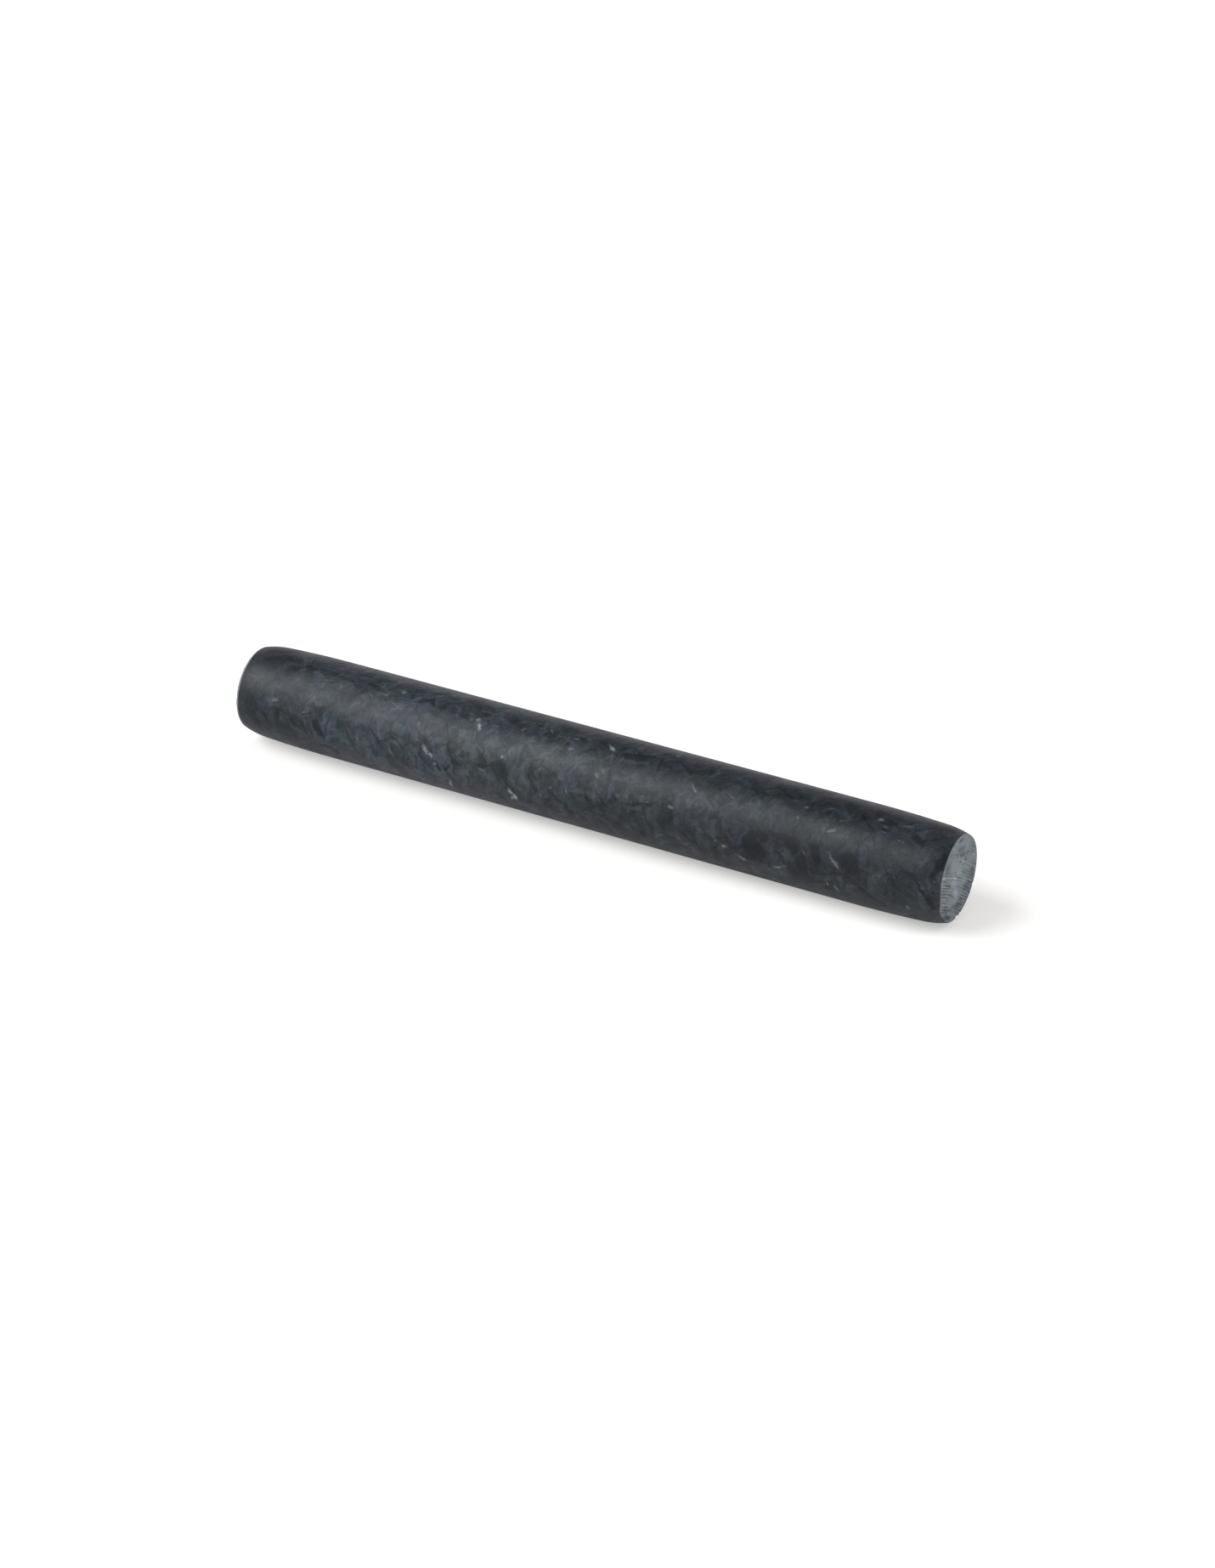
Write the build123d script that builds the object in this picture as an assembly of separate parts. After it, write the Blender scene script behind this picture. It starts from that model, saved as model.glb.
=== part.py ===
from build123d import *
import os

# Marble rolling pin without handles: one solid bar, turned and honed from a single piece of stone.
# Frame in millimetres: +X along the bar and +Z up. The origin is on the surface that the bar lies
# on, below the middle of its length.

# Driving sizes of the bar
bar_length = 400.0       # from one ground end face to the other
bar_diameter = 50.0      # across the straight barrel that rolls the dough

# Driving sizes of the two ends, which are alike
shoulder_length = 50.0   # the long shallow taper starts this far from the end face
shoulder_drop = 1.0      # the radius that the taper takes off before the nose
nose_length = 12.0       # the rounder nose starts this far from the end face
nose_drop = 2.2          # the radius that the nose takes off on top of the taper
edge_radius = 0.8        # the eased edge between the nose and the flat end face

half_length = bar_length / 2
barrel_radius = bar_diameter / 2
nose_root_radius = barrel_radius - shoulder_drop
end_radius = nose_root_radius - nose_drop


def end_outline():
    """Upper outline of one end: the shoulder and nose arcs, each tangent to what it leaves."""
    barrel_end = (half_length - shoulder_length, barrel_radius)
    nose_root = (half_length - nose_length, nose_root_radius)
    end_corner = (half_length, end_radius)
    shoulder = TangentArc(barrel_end, nose_root, tangent=Axis.X.direction)
    nose = TangentArc(nose_root, end_corner, tangent=shoulder % 1)
    face_line = Line(end_corner, (half_length, 0))
    return Curve() + [shoulder, nose, face_line]


def bar_section():
    """Half of the bar's lengthwise section, between its outline and its centre line."""
    right_end = end_outline()
    left_end = mirror(right_end, about=Plane.YZ)
    barrel_reach = half_length - shoulder_length
    barrel_line = Line((-barrel_reach, barrel_radius), (barrel_reach, barrel_radius))
    centre_line = Line((-half_length, 0), (half_length, 0))
    section = make_face(Curve() + [*right_end.edges(), *left_end.edges(), barrel_line, centre_line])
    end_corners = [
        corner
        for corner in section.vertices()
        if corner.Y > 0 and abs(corner.X) > half_length - edge_radius
    ]
    return fillet(end_corners, edge_radius)


def marble_bar():
    """The whole bar, turned about its centre line and lifted to lie on the surface below."""
    turned = revolve(bar_section(), axis=Axis.X)
    return Pos(0, 0, barrel_radius) * turned


# One solid, one node
marble_roller = marble_bar()
marble_roller.label = "marble_roller"

os.makedirs("parts", exist_ok=True)
export_step(marble_roller, "parts/marble_roller.step")

print("marble_roller volume in millilitres:", round(marble_roller.volume / (CM**3), 1))
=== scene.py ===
import math

import bpy
import numpy as np
from mathutils import Matrix, Vector, noise


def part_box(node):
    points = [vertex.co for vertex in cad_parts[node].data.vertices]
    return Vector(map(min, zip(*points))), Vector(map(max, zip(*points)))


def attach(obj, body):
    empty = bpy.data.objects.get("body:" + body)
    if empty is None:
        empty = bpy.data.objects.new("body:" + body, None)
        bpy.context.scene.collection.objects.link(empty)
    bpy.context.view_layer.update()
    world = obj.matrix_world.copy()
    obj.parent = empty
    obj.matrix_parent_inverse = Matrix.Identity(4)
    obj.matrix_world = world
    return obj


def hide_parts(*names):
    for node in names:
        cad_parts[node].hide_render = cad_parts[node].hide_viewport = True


# Marble rolling pin: the looks. The bar is one solid of dark marble, honed on the barrel and left
# sawn at both ends. Lengths of the mesh, camera and lights are in metres. The stone's material
# works in millimetres, and its angles round the bar count from the side that faces -Y up to the top.

NODE = "marble_roller"
MM = 0.001

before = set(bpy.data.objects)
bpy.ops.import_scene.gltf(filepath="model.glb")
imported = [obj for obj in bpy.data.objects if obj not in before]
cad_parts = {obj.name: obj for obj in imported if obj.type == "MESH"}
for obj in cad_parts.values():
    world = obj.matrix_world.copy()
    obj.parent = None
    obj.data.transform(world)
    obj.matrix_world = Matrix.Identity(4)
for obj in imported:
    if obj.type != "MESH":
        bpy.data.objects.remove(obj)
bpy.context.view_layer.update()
bar_low, bar_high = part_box(NODE)

# The bar's outline, the same as the solid's: a straight barrel, a shallow shoulder, a rounder nose
HALF_LENGTH = (bar_high.x - bar_low.x) / 2
BARREL_RADIUS = (bar_high.z - bar_low.z) / 2
AXIS_HEIGHT = (bar_high.z + bar_low.z) / 2
SHOULDER_LENGTH = 50 * MM
SHOULDER_DROP = 1.0 * MM
NOSE_LENGTH = 12 * MM
NOSE_DROP = 2.2 * MM
EDGE_RADIUS = 0.8 * MM

# How finely the mesh is cut
SEGMENTS = 480          # round the bar
BARREL_STATIONS = 15    # along half of the straight barrel
SHOULDER_STATIONS = 12
NOSE_STATIONS = 14
EDGE_STATIONS = 5
OUTER_RINGS = 36        # on an end face, where its saw marks are
INNER_RINGS = 14        # on the middle of it
INNER_SHARE = 0.48      # of the face's radius

# Saw marks on the end faces: shallow parallel grooves that fade in and out
SAW_PITCH = 1.5 * MM
SAW_DEPTH = 0.05 * MM
SAW_ANGLE = math.radians(-32)
SAW_BOW_RADIUS = 180 * MM
SAW_WANDER = 0.45 * MM           # how far a groove strays from its line
SAW_WANDER_SIZE = 9 * MM
SAW_SHOWN = 0.22                 # how much of the grooves shows away from the bites below
SAW_FADING = 1.1                 # how strongly that comes and goes
SAW_FADE_LENGTH = 16 * MM
SAW_FADE_WIDTH = 3 * MM
SAWN_EDGE = 0.25 * EDGE_RADIUS   # how far behind a face's plane its saw marks reach
FACE_SEED = 7.3                  # sets the grooves of the two faces apart
FADE_SEED = 3.1                  # sets the fading apart from the straying
RELIEF_NAME = "saw_relief"       # the mesh attribute that tells the material about the grooves

# Where the saw bit deepest on an end face: y and z from the axis and reach, in mm, and share
SAW_BITES = (
    (-15, -3, 10, 0.75),
    (14, -11, 9, 0.80),
    (-13, 6, 7, 0.45),
    (4, -18, 9, 0.60),
    (15, 8, 7, 0.30),
)

# The slight waviness of the end faces
FACE_WAVE_DEPTH = 0.05 * MM
FACE_WAVE_SIZE = 12 * MM

# The flat map that the stone is baked through, in shares of its side: the barrel takes two columns,
# and both end faces lie above the second one
MAP_NAME = "OFBake"
MAP_BREAK = 25 * MM     # the first station past here starts the second column
MAP_COLUMN = 0.5
MAP_GAP = 0.004
MAP_FACE_SPAN = 0.24

# Small chips along the rim of an end face: turn in degrees, half width and depth in mm
RIM_CHIPS = (
    (-92, 1.9, 0.50),
    (-84, 0.9, 0.30),
    (-101, 1.1, 0.28),
    (-38, 0.8, 0.20),
    (12, 1.0, 0.22),
    (31, 0.6, 0.16),
    (74, 0.8, 0.18),
    (118, 1.2, 0.25),
    (171, 0.7, 0.20),
    (214, 1.0, 0.22),
)


def outline_arcs():
    """Centres, radii and end angles of the shoulder, nose and edge arcs of one end."""
    shoulder_run = SHOULDER_LENGTH - NOSE_LENGTH
    shoulder_radius = (shoulder_run**2 + SHOULDER_DROP**2) / (2 * SHOULDER_DROP)
    shoulder_centre = (HALF_LENGTH - SHOULDER_LENGTH, BARREL_RADIUS - shoulder_radius)
    shoulder_turn = math.asin(shoulder_run / shoulder_radius)
    chord = math.hypot(NOSE_LENGTH, NOSE_DROP)
    half_turn = math.atan2(NOSE_DROP, NOSE_LENGTH) - shoulder_turn
    nose_radius = chord / (2 * math.sin(half_turn))
    root = (HALF_LENGTH - NOSE_LENGTH, BARREL_RADIUS - SHOULDER_DROP)
    nose_centre = (
        root[0] - nose_radius * math.sin(shoulder_turn),
        root[1] - nose_radius * math.cos(shoulder_turn),
    )
    edge_x = HALF_LENGTH - EDGE_RADIUS
    reach = edge_x - nose_centre[0]
    edge_r = nose_centre[1] + math.sqrt((nose_radius - EDGE_RADIUS) ** 2 - reach**2)
    edge_turn = math.atan2(reach, edge_r - nose_centre[1])
    return (
        (shoulder_centre, shoulder_radius, 0, shoulder_turn, SHOULDER_STATIONS),
        (nose_centre, nose_radius, shoulder_turn, edge_turn, NOSE_STATIONS),
        ((edge_x, edge_r), EDGE_RADIUS, edge_turn, math.pi / 2, EDGE_STATIONS),
    )


def half_outline():
    """Stations (x, radius) from the middle of the barrel to the rim of the flat end face."""
    barrel_reach = HALF_LENGTH - SHOULDER_LENGTH
    stations = [(barrel_reach * i / BARREL_STATIONS, BARREL_RADIUS) for i in range(BARREL_STATIONS + 1)]
    for centre, radius, first, last, count in outline_arcs():
        for i in range(1, count + 1):
            turn = first + (last - first) * i / count
            stations.append((centre[0] + radius * math.sin(turn), centre[1] + radius * math.cos(turn)))
    return stations


RIM_RADIUS = half_outline()[-1][1]


def saw_relief(y, z, seed):
    """How deep in a saw groove a point of an end face lies, from 0 on a ridge to 1 in a full groove."""
    across = z * math.cos(SAW_ANGLE) - y * math.sin(SAW_ANGLE)
    along = y * math.cos(SAW_ANGLE) + z * math.sin(SAW_ANGLE)
    across += along**2 / (2 * SAW_BOW_RADIUS)
    wander = noise.noise(Vector((y, z, seed)) / SAW_WANDER_SIZE) * SAW_WANDER
    groove = 0.5 - 0.5 * math.cos(2 * math.pi * (across + wander) / SAW_PITCH)
    fade = Vector((along / SAW_FADE_LENGTH, across / SAW_FADE_WIDTH, seed * FADE_SEED))
    shown = SAW_SHOWN + SAW_FADING * noise.noise(fade)
    for at_y, at_z, reach, share in SAW_BITES:
        away = math.hypot(y - at_y * MM, z - at_z * MM) / (reach * MM)
        shown += share * max(0, 1 - away**2)
    return groove * min(1, max(0, shown))


def chip_bite(turn, x, r):
    """How much of the stone is missing at a point near a face's rim, as a depth in metres."""
    bite = 0
    for degrees, half_width, depth in RIM_CHIPS:
        apart = (math.degrees(turn) - degrees + 180) % 360 - 180
        sideways = math.radians(apart) * r / (half_width * MM)
        rim_reach = math.hypot(HALF_LENGTH - x, RIM_RADIUS - r) / (half_width * MM)
        reach = math.hypot(sideways, rim_reach)
        if reach < 1:
            bite = max(bite, depth * MM * (1 - reach**2))
    return bite


def face_radii():
    """Radii of the rings on an end face, from just inside its rim to just short of its middle."""
    inner = RIM_RADIUS * INNER_SHARE
    outer = [RIM_RADIUS + (inner - RIM_RADIUS) * i / OUTER_RINGS for i in range(1, OUTER_RINGS + 1)]
    return outer + [inner * (1 - i / INNER_RINGS) for i in range(1, INNER_RINGS)]


class FlatMap:
    """Lays the bar's surface out on a square, so that its colours can be baked to a picture."""

    def __init__(self, stations):
        self.stations = stations
        self.path = [0.0]
        for (x0, r0, _), (x1, r1, _) in zip(stations, stations[1:]):
            self.path.append(self.path[-1] + math.hypot(x1 - x0, r1 - r0))
        barrel = [row for row, station in enumerate(stations) if not station[2]]
        middle = next(row for row in barrel if stations[row][0] > MAP_BREAK)
        self.columns = ((barrel[0], middle), (middle, barrel[-1]))

    def on_barrel(self, row, i, column):
        """Where a point between the two end faces lies, in one of the two columns."""
        first, last = self.columns[column]
        along = (self.path[row] - self.path[first]) / (self.path[last] - self.path[first])
        tall = 1 - MAP_FACE_SPAN * column - 2 * MAP_GAP
        wide = MAP_COLUMN - 2 * MAP_GAP
        across = column * MAP_COLUMN + MAP_GAP + wide * (1 - i / SEGMENTS)
        return across, MAP_GAP + tall * along

    def on_face(self, y, z, side):
        """Where a point of an end face lies, above the second column."""
        half_wide = MAP_COLUMN / 4
        half_tall = MAP_FACE_SPAN / 2
        across = 1.5 * MAP_COLUMN + side * (half_wide + y / RIM_RADIUS * (half_wide - MAP_GAP))
        return across, 1 - half_tall + z / RIM_RADIUS * (half_tall - MAP_GAP)

    def spot(self, row, i, flat, column):
        """Where a corner of a face lies on the map, be it a face of an end or of the barrel."""
        if not flat:
            return self.on_barrel(row, i, column)
        x, r, _ = self.stations[row]
        turn = 2 * math.pi * i / SEGMENTS
        return self.on_face(-r * math.cos(turn), r * math.sin(turn), 1 if x > 0 else -1)


def surface_point(x, r, flat, turn):
    """A point of the surface, less what saw and chips took away, and how deep in a groove it lies."""
    side = 1 if x > 0 else -1
    y = -r * math.cos(turn)
    z = r * math.sin(turn)
    groove = 0
    sink = 0
    if flat or abs(x) >= HALF_LENGTH - SAWN_EDGE:
        groove = saw_relief(y * side, z, side * FACE_SEED)
        wave = 0.5 + 0.5 * noise.noise(Vector((y, z, side)) / FACE_WAVE_SIZE)
        sink = SAW_DEPTH * groove + FACE_WAVE_DEPTH * wave
    bite = chip_bite(turn, abs(x), r)
    left = 1 - bite / r
    return (x - side * (sink + bite), y * left, z * left + AXIS_HEIGHT), groove


def bar_faces(stations):
    """Faces between the stations and over each end's middle, and their corners on the flat map."""
    layout = FlatMap(stations)
    faces = []
    spots = []
    for row in range(len(stations) - 1):
        flat = stations[row][2] or stations[row + 1][2]
        column = int(row >= layout.columns[1][0])
        for i in range(SEGMENTS):
            corners = ((row, i), (row + 1, i), (row + 1, i + 1), (row, i + 1))
            faces.append([place * SEGMENTS + step % SEGMENTS for place, step in corners])
            spots += [layout.spot(place, step, flat, column) for place, step in corners]
    last = len(stations) - 1
    left_hub = len(stations) * SEGMENTS
    right_hub = left_hub + 1
    for i in range(SEGMENTS):
        j = (i + 1) % SEGMENTS
        faces.append((left_hub, i, j))
        spots.append(layout.on_face(0, 0, -1))
        spots += [layout.spot(0, i, True, 0), layout.spot(0, i + 1, True, 0)]
        faces.append((right_hub, last * SEGMENTS + j, last * SEGMENTS + i))
        spots.append(layout.on_face(0, 0, 1))
        spots += [layout.spot(last, i + 1, True, 1), layout.spot(last, i, True, 1)]
    return faces, spots


def bar_mesh():
    """The whole bar as one closed mesh. Its saw marks and chips only take stone away."""
    right = [(x, r, False) for x, r in half_outline()]
    right += [(HALF_LENGTH, r, True) for r in face_radii()]
    left = [(-x, r, flat) for x, r, flat in reversed(right[1:])]
    stations = left + right
    turns = [2 * math.pi * i / SEGMENTS for i in range(SEGMENTS)]
    made = [surface_point(*station, turn) for station in stations for turn in turns]
    points = [point for point, _ in made]
    relief = [groove for _, groove in made]
    for side in (-1, 1):
        points.append((side * (HALF_LENGTH - FACE_WAVE_DEPTH / 2), 0, AXIS_HEIGHT))
        relief.append(0)
    faces, spots = bar_faces(stations)
    mesh = bpy.data.meshes.new("marble_bar")
    mesh.from_pydata(points, [], faces)
    mesh.polygons.foreach_set("use_smooth", [True] * len(faces))
    layer = mesh.attributes.new(RELIEF_NAME, "FLOAT", "POINT")
    layer.data.foreach_set("value", relief)
    flat_map = mesh.uv_layers.new(name=MAP_NAME)
    flat_map.data.foreach_set("uv", np.array(spots).ravel())
    mesh.update()
    return mesh


class Graph:
    """Adds shader nodes by kind and links their inputs, so that a material reads as a list of steps."""

    def __init__(self, tree):
        self.tree = tree

    def add(self, kind, inputs=None, **settings):
        made = self.tree.nodes.new(kind)
        for name, value in settings.items():
            setattr(made, name, value)
        for name, value in (inputs or {}).items():
            socket = made.inputs[name]
            if isinstance(value, bpy.types.NodeSocket):
                self.tree.links.new(value, socket)
            else:
                socket.default_value = value
        return made

    def math(self, operation, first, second=0.0, third=0.0, clamp=False):
        made = self.add("ShaderNodeMath", {0: first, 1: second, 2: third}, operation=operation)
        made.use_clamp = clamp
        return made.outputs[0]

    def lowered(self, value, share):
        """A value with a share of it taken away."""
        return self.math("MULTIPLY", value, self.math("SUBTRACT", 1.0, share))

    def raised(self, value, share):
        """A value with a share of it added."""
        return self.math("MULTIPLY", value, self.math("ADD", 1.0, share))

    def vector(self, operation, first, second=(0, 0, 0)):
        made = self.add("ShaderNodeVectorMath", {0: first, 1: second}, operation=operation)
        return made.outputs[0]

    def scaled(self, vector, factor):
        made = self.add("ShaderNodeVectorMath", {0: vector, "Scale": factor}, operation="SCALE")
        return made.outputs[0]

    def dot(self, first, second):
        made = self.add("ShaderNodeVectorMath", {0: first, 1: second}, operation="DOT_PRODUCT")
        return made.outputs["Value"]

    def length(self, vector):
        made = self.add("ShaderNodeVectorMath", {0: vector}, operation="LENGTH")
        return made.outputs["Value"]

    def part(self, vector, axis):
        """What a vector has along X, Y or Z, which are axes 0, 1 and 2."""
        return self.add("ShaderNodeSeparateXYZ", {0: vector}).outputs[axis]

    def ramp(self, value, low, high, to_low=0.0, to_high=1.0, smooth=True):
        made = self.add(
            "ShaderNodeMapRange",
            {"Value": value, "From Min": low, "From Max": high, "To Min": to_low, "To Max": to_high},
            interpolation_type="SMOOTHSTEP" if smooth else "LINEAR",
        )
        return made.outputs[0]

    def noise(self, vector, size, detail, roughness, colour=False):
        inputs = {"Vector": vector, "Scale": 1 / size, "Detail": detail, "Roughness": roughness}
        made = self.add("ShaderNodeTexNoise", inputs, noise_dimensions="3D")
        return made.outputs["Color" if colour else "Fac"]

    def cells(self, vector, size):
        """Broken cells, each with a colour of its own."""
        made = self.add("ShaderNodeTexVoronoi", {"Vector": vector, "Scale": 1 / size}, feature="F1")
        return made.outputs["Color"]

    def cell_edges(self, vector, size):
        """The distance from the nearest edge between broken cells."""
        inputs = {"Vector": vector, "Scale": 1 / size}
        made = self.add("ShaderNodeTexVoronoi", inputs, feature="DISTANCE_TO_EDGE")
        return made.outputs["Distance"]

    def mix(self, factor, first, second):
        made = self.add("ShaderNodeMix", {0: factor, 6: first, 7: second}, data_type="RGBA")
        return made.outputs[2]


# Marks wider than this, in mm, have smoother edges
RAGGED_WIDTH = 3.5

# Dark marks of the stone on the side that the photograph shows: place along the bar in mm, turn
# round it in degrees, length and width in mm, slant in degrees up to the right, and depth of tone
DARK_MARKS = (
    (-196, 33, 7, 3, 0, 0.20),
    (-189, 98, 24, 8, 0, 0.42),
    (-189, 10, 9, 10, 30, 0.30),
    (-184, 77, 8, 4, 25, 0.25),
    (-193, -8, 9, 7, 80, 0.24),
    (-186, -12, 7, 4, -35, 0.42),
    (-180, -2, 6, 2.5, -60, 0.35),
    (-173, 2, 11, 3, 85, 0.42),
    (-172, -6, 5, 5, 0, 0.28),
    (-171, 34, 8, 3, 3, 0.25),
    (-174, 57, 12, 2, 5, 0.22),
    (-175, 83, 10, 7, -10, 0.38),
    (-153, 75, 9, 5, 0, 0.40),
    (-162, 75, 7, 4.5, 0, 0.36),
    (-163, 68, 7, 1.3, 15, 0.30),
    (-156, -2, 9, 1.6, -65, 0.35),
    (-154, 50, 13, 1.6, 5, 0.22),
    (-153, 19, 7, 1.4, -80, 0.25),
    (-146.5, 26, 5, 4.5, 60, 0.50),
    (-148, 77, 9, 3, -15, 0.30),
    (-147.5, 3, 12, 5.6, -55, 0.58),
    (-147, -20, 9, 1.4, 5, 0.25),
    (-145, 82, 9, 3, 5, 0.22),
    (-134, 49, 13, 6, 5, 0.28),
    (-139, 71, 7, 3, 0, 0.34),
    (-118, 91, 10, 5, 0, 0.28),
    (-122, 71, 12, 4, -10, 0.36),
    (-124, 33, 12, 5, 0, 0.22),
    (-104, -12, 7, 10, 10, 0.26),
    (-112, 9, 12, 1.4, -52, 0.45),
    (-113, 57, 8, 1.2, -35, 0.30),
    (-108, 44, 9, 3, 5, 0.22),
    (-103, 4, 6, 1.8, -75, 0.35),
    (-94, -6, 8, 1.4, 75, 0.25),
    (-90, 74, 9, 3.5, -40, 0.38),
    (-89, -5, 10, 1.8, 88, 0.38),
    (-86, 28, 13, 2, -28, 0.28),
    (-81, 56, 22, 2.6, -12, 0.24),
    (-82, -2, 6, 3, 10, 0.25),
    (-75.8, -3, 5, 1.8, -60, 0.56),
    (-71, -3, 5, 1.8, 60, 0.46),
    (-74, 42, 8, 1.4, -60, 0.40),
    (-71, 27, 9, 2, -78, 0.42),
    (-68, 11, 9, 1.8, -60, 0.45),
    (-66.5, -2, 6, 2.2, -82, 0.35),
    (-62, 87, 14, 6, 10, 0.32),
    (-60, 75, 13, 4, 5, 0.42),
    (-58.5, -13, 6, 1.6, 82, 0.30),
    (-54, 96, 6, 2.4, 35, 0.35),
    (-51, 22, 13, 2.8, -48, 0.42),
    (-50, 13.5, 8, 2.2, 12, 0.50),
    (-43, 9, 13, 1.6, -52, 0.42),
    (-42, 20, 9, 3.2, 22, 0.34),
    (-39, 12, 10, 7, -40, 0.22),
    (-41, 75, 11, 4, -12, 0.30),
    (-44, 60, 8, 5, 40, 0.24),
    (-40, -23, 8, 4, -20, 0.28),
    (-28, 81, 4, 2.6, 0, 0.45),
    (-21, 77, 7, 1.6, -40, 0.32),
    (-16, 88, 7, 4, -50, 0.26),
    (-26, 40, 8, 3, 10, 0.22),
    (-20, 21, 9, 6, -20, 0.28),
    (-23, 14, 9, 2.2, -48, 0.38),
    (-19, 3, 5, 2.6, -40, 0.36),
    (-12, 23, 7, 4, 15, 0.26),
    (-8, 65, 6, 1.2, 0, 0.36),
    (-5, 79, 6, 2.6, 15, 0.38),
    (-12, 64, 8, 5, 0, 0.34),
    (-65, 69, 6, 2, 0, 0.34),
    (-6.5, -3, 15, 1.9, -32, 0.40),
    (-11, -16, 13, 7, -50, 0.26),
    (0, -22, 8, 5, 80, 0.30),
    (-2, -10, 7, 2, -80, 0.34),
    (8, 61, 7, 2.2, -20, 0.34),
    (9, 10, 9, 1.4, -12, 0.34),
    (18, 3, 7, 4, -30, 0.38),
    (18, -26, 11, 10, 0, 0.34),
    (7, 60, 10, 4, -20, 0.28),
    (19, 46, 15, 1.6, -85, 0.28),
    (21, -12, 4, 2.2, 20, 0.36),
    (26, -18, 7, 6, 30, 0.36),
    (26, 17, 2.5, 2, 0, 0.45),
    (22, 56, 9, 4, 5, 0.22),
    (28, 72, 18, 4.5, 4, 0.46),
    (34, 78, 9, 1.5, 22, 0.46),
    (37, 72, 5, 1.6, -50, 0.40),
    (42, 72, 12, 1.6, -78, 0.34),
    (38, 38, 11, 5, 85, 0.24),
    (37, 17, 19, 1.7, 14, 0.42),
    (36, 7, 5, 1.6, 25, 0.38),
    (41, -19, 6, 5, 50, 0.32),
    (47, 89, 14, 6, -5, 0.36),
    (57, 74, 9, 1.8, -38, 0.48),
    (52, 27, 3, 2.5, 0, 0.38),
    (52, 14, 14, 11, 0, 0.18),
    (66, -5, 7, 2, -50, 0.32),
    (56, -28, 9, 5, 10, 0.22),
    (69, 84, 9, 2.2, 82, 0.30),
    (73, 63, 11, 3, -15, 0.34),
    (73, 54, 12, 6, -65, 0.34),
    (90, 84, 10, 5, -30, 0.28),
    (75, 80, 7, 1.6, 20, 0.28),
    (80, 31, 6, 4, 60, 0.24),
    (82, -21, 6, 2.2, -85, 0.36),
    (96, 73, 13, 6, -28, 0.28),
    (93, 0, 8, 2.2, 30, 0.36),
    (100, 12, 11, 8, 60, 0.54),
    (106, 20.5, 11, 5, 0, 0.50),
    (103.5, 1, 14, 12, -60, 0.52),
    (117, 27, 17, 3.6, 4, 0.46),
    (123, 18, 10, 7, -42, 0.48),
    (129, 1, 15, 7, -75, 0.44),
    (135, 20, 12, 5.5, -68, 0.46),
    (107, 72, 6, 4.5, 0, 0.36),
    (111, 79, 11, 2.2, -30, 0.40),
    (117, 63, 9, 4, -18, 0.30),
    (125.5, 70, 9, 1.6, 85, 0.40),
    (121, 78, 10, 4, 0, 0.30),
    (134, 81, 10, 3, 5, 0.36),
    (135, 66, 4, 2.6, 60, 0.48),
    (141, 61, 6, 2.2, -50, 0.36),
    (132, 57, 6, 2.2, 58, 0.34),
    (141, 89, 5, 3, 20, 0.42),
    (154, 16, 13, 10, -50, 0.52),
    (157, 5, 7, 4, -40, 0.40),
    (147, 1, 14, 1.6, 12, 0.34),
    (155, -1, 9, 3.4, -40, 0.42),
    (165, 77, 11, 5, -15, 0.40),
    (166, 88, 8, 5, 0, 0.25),
    (163, -14, 14, 2.4, -35, 0.46),
    (170, -24, 8, 3, -30, 0.40),
    (152.5, 74, 6, 1.8, -35, 0.55),
    (158, 64, 8, 1.4, -35, 0.50),
    (162, 50, 8, 1.3, -60, 0.40),
    (155.5, 40, 13, 1.4, -80, 0.30),
    (165, 65, 5, 1.2, 0, 0.45),
    (171.5, 25, 12, 1.3, -60, 0.34),
    (176, 14, 6, 2.2, -60, 0.42),
    (183, 65, 10, 4.5, -15, 0.48),
    (186, 36, 7, 1.3, 10, 0.34),
    (186, 21, 10, 3.2, -20, 0.42),
    (189.5, 13, 7, 2, -60, 0.50),
    (192, 4, 6, 1.8, -55, 0.50),
    (196, -7, 9, 3, -60, 0.60),
    (196, 27, 6, 3, -60, 0.48),
    (197, 47, 14, 5, 85, 0.60),
    (188, 97, 18, 5, 0, 0.45),
)

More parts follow.
